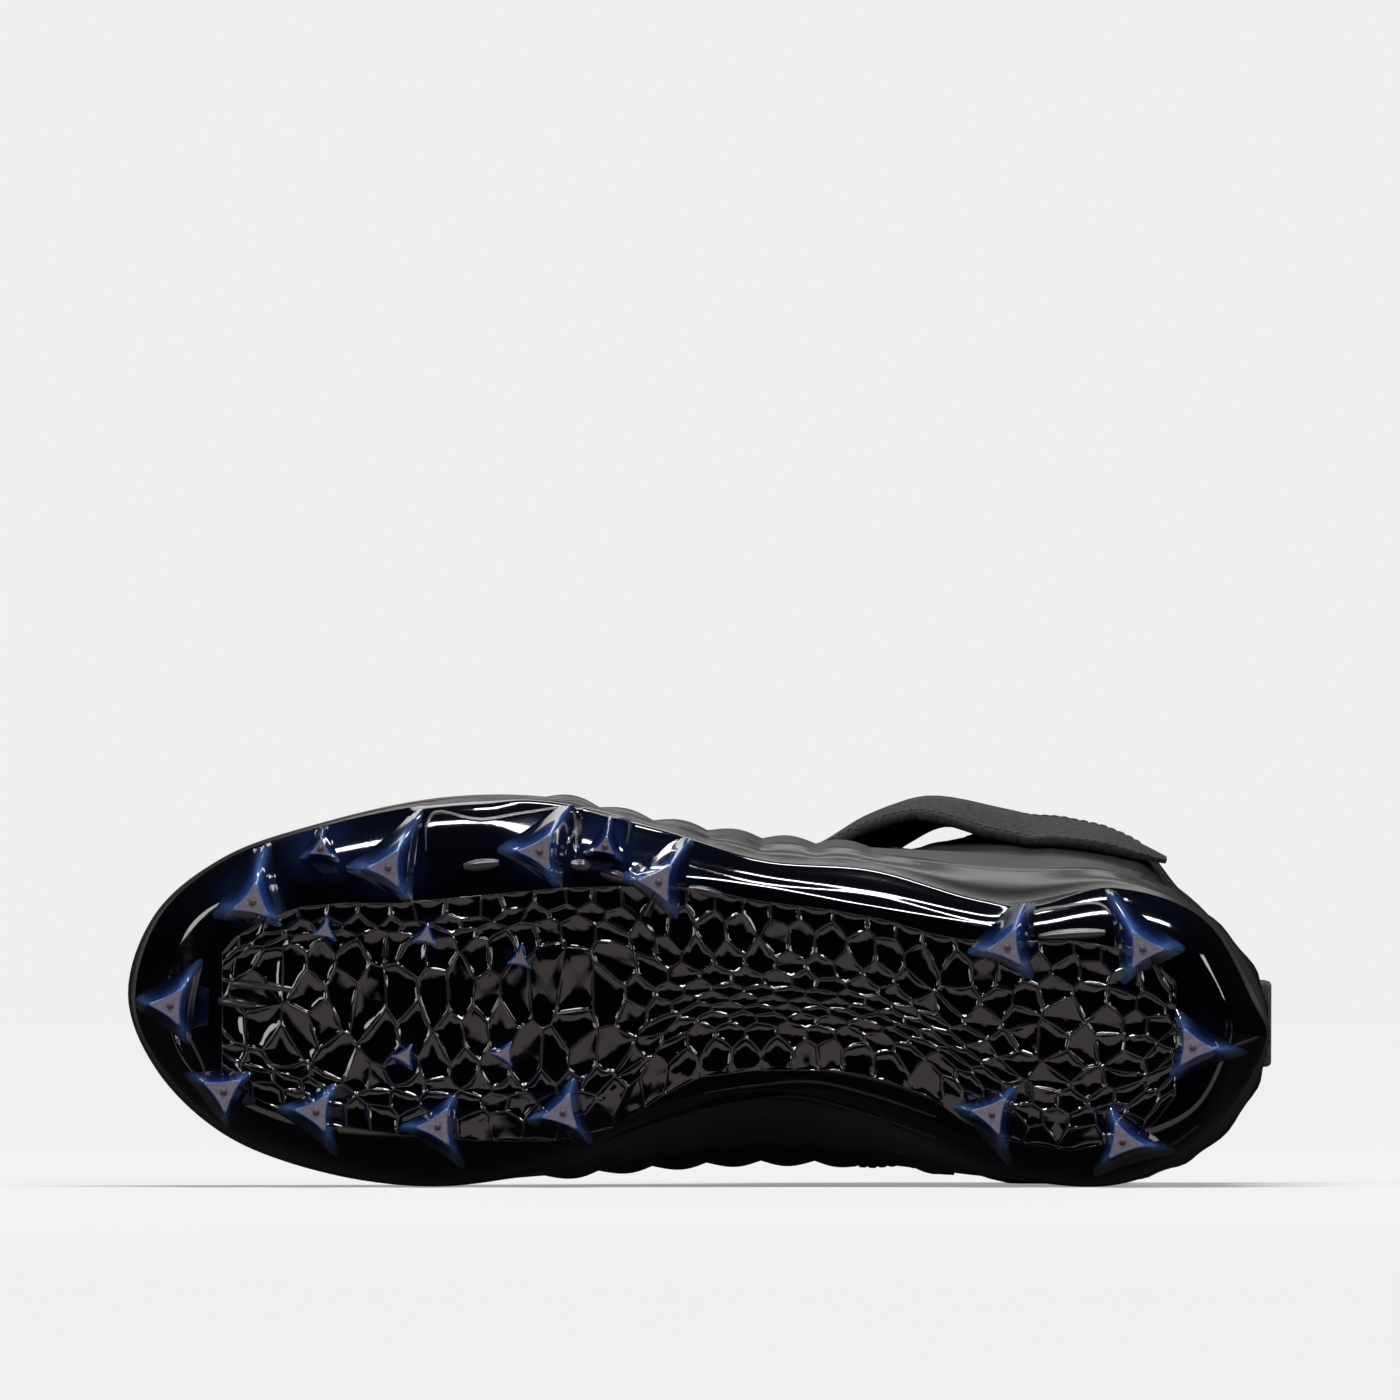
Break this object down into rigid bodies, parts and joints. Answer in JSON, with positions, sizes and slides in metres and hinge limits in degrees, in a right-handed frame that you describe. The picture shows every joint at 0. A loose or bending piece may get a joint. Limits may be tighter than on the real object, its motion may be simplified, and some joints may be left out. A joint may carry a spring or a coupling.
{
  "type": "american football cleat",
  "caption": "Mid-cut american football cleat lying on its inner side, with a moulded stud plate, ribbed upper, laced throat and an ankle strap.",
  "frame": {"origin": "centre of the bounding box in X and Y, on the surface that the shoe lies on", "axes": "the shoe lies on its inner side: -X from heel to toe, +Y from the studs to the collar, +Z to the outer side of the foot"},
  "size_m": [0.297, 0.1416, 0.1016],
  "materials": {
    "plate": "gloss black moulded polyurethane with translucent blue studs",
    "upper": "satin black coated synthetic",
    "insole": "black textile over foam",
    "tongue": "black knit",
    "lace": "black braided lace",
    "strap": "black grained strap webbing",
    "pull_tab": "black woven webbing"
  },
  "bodies": {
    "root": {"outsole": "plate", "upper": "upper", "insole": "insole", "tongue": "tongue", "lace": "lace", "ankle_strap": "strap", "heel_pull_tab": "pull_tab"}
  },
  "joints": []
}
